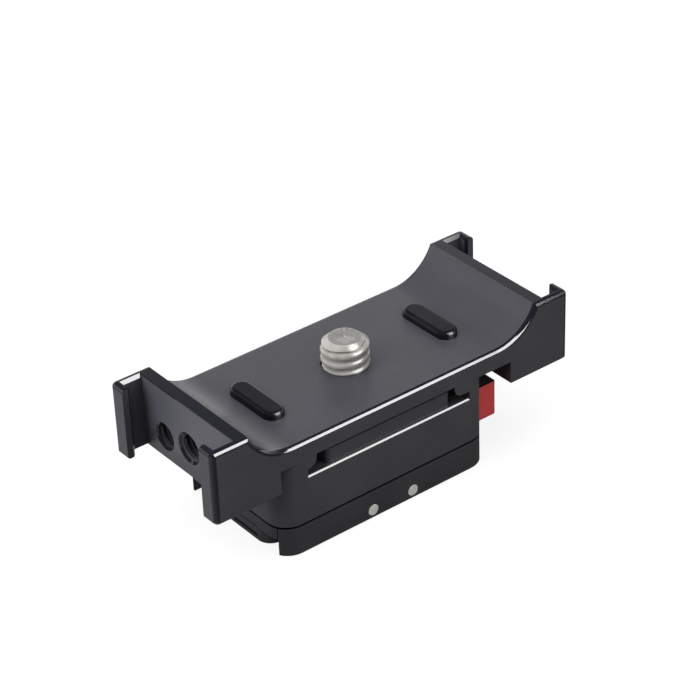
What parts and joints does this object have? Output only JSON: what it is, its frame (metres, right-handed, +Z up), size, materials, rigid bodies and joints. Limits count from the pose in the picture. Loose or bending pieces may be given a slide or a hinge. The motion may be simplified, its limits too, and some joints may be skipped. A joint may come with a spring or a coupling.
{
  "type": "quick-release camera base plate",
  "caption": "Low camera plate with a captive camera screw, rubber pads, a shoe channel at each end and a spring-loaded jaw below that a red push button releases.",
  "frame": {"origin": "on the camera screw's axis, at the height of the rails' feet, which is the middle of the underside", "axes": "+X along the plate towards the red button, +Y across it, +Z up towards the camera"},
  "size_m": [0.0564, 0.0212, 0.0204],
  "materials": {
    "black_anodised": "black anodised, satin",
    "red_anodised": "red anodised, satin",
    "bright_steel": "machined",
    "dark_steel": "black oxide",
    "pad_rubber": "smooth matt"
  },
  "bodies": {
    "base": {"body_plate": "black_anodised", "receiver_plate": "black_anodised", "screw_washer": "bright_steel", "rubber_pad_left": "pad_rubber", "rubber_pad_right": "pad_rubber", "locating_pin_front_left": "bright_steel", "locating_pin_front_right": "bright_steel", "locating_pin_back_left": "bright_steel", "locating_pin_back_right": "bright_steel", "plate_screw_front_left": "dark_steel", "plate_screw_front_right": "dark_steel", "plate_screw_back_left": "dark_steel", "plate_screw_back_right": "dark_steel", "return_spring_front": "bright_steel", "return_spring_back": "bright_steel"},
    "release": {"lock_slide": "black_anodised", "release_button": "red_anodised", "clamp_jaw": "black_anodised", "jaw_screw_front": "dark_steel", "jaw_screw_back": "dark_steel", "jaw_sleeve_front": "bright_steel", "jaw_sleeve_back": "bright_steel", "button_screw_front": "dark_steel", "button_screw_back": "dark_steel"},
    "screw": {"camera_screw": "bright_steel"}
  },
  "joints": [
    {"name": "release_slide", "type": "slide", "parent": "base", "child": "release", "axis": [1, 0, 0], "range_m": [-0.0018, 0], "stiffness_N_per_m": 1500, "springref_m": 0.002, "deforming": ["return_spring_front", "return_spring_back"]},
    {"name": "screw_turn", "type": "hinge", "parent": "base", "child": "screw", "pos_m": [0, 0, 0.0162], "axis": [0, 0, 1], "continuous": true}
  ]
}
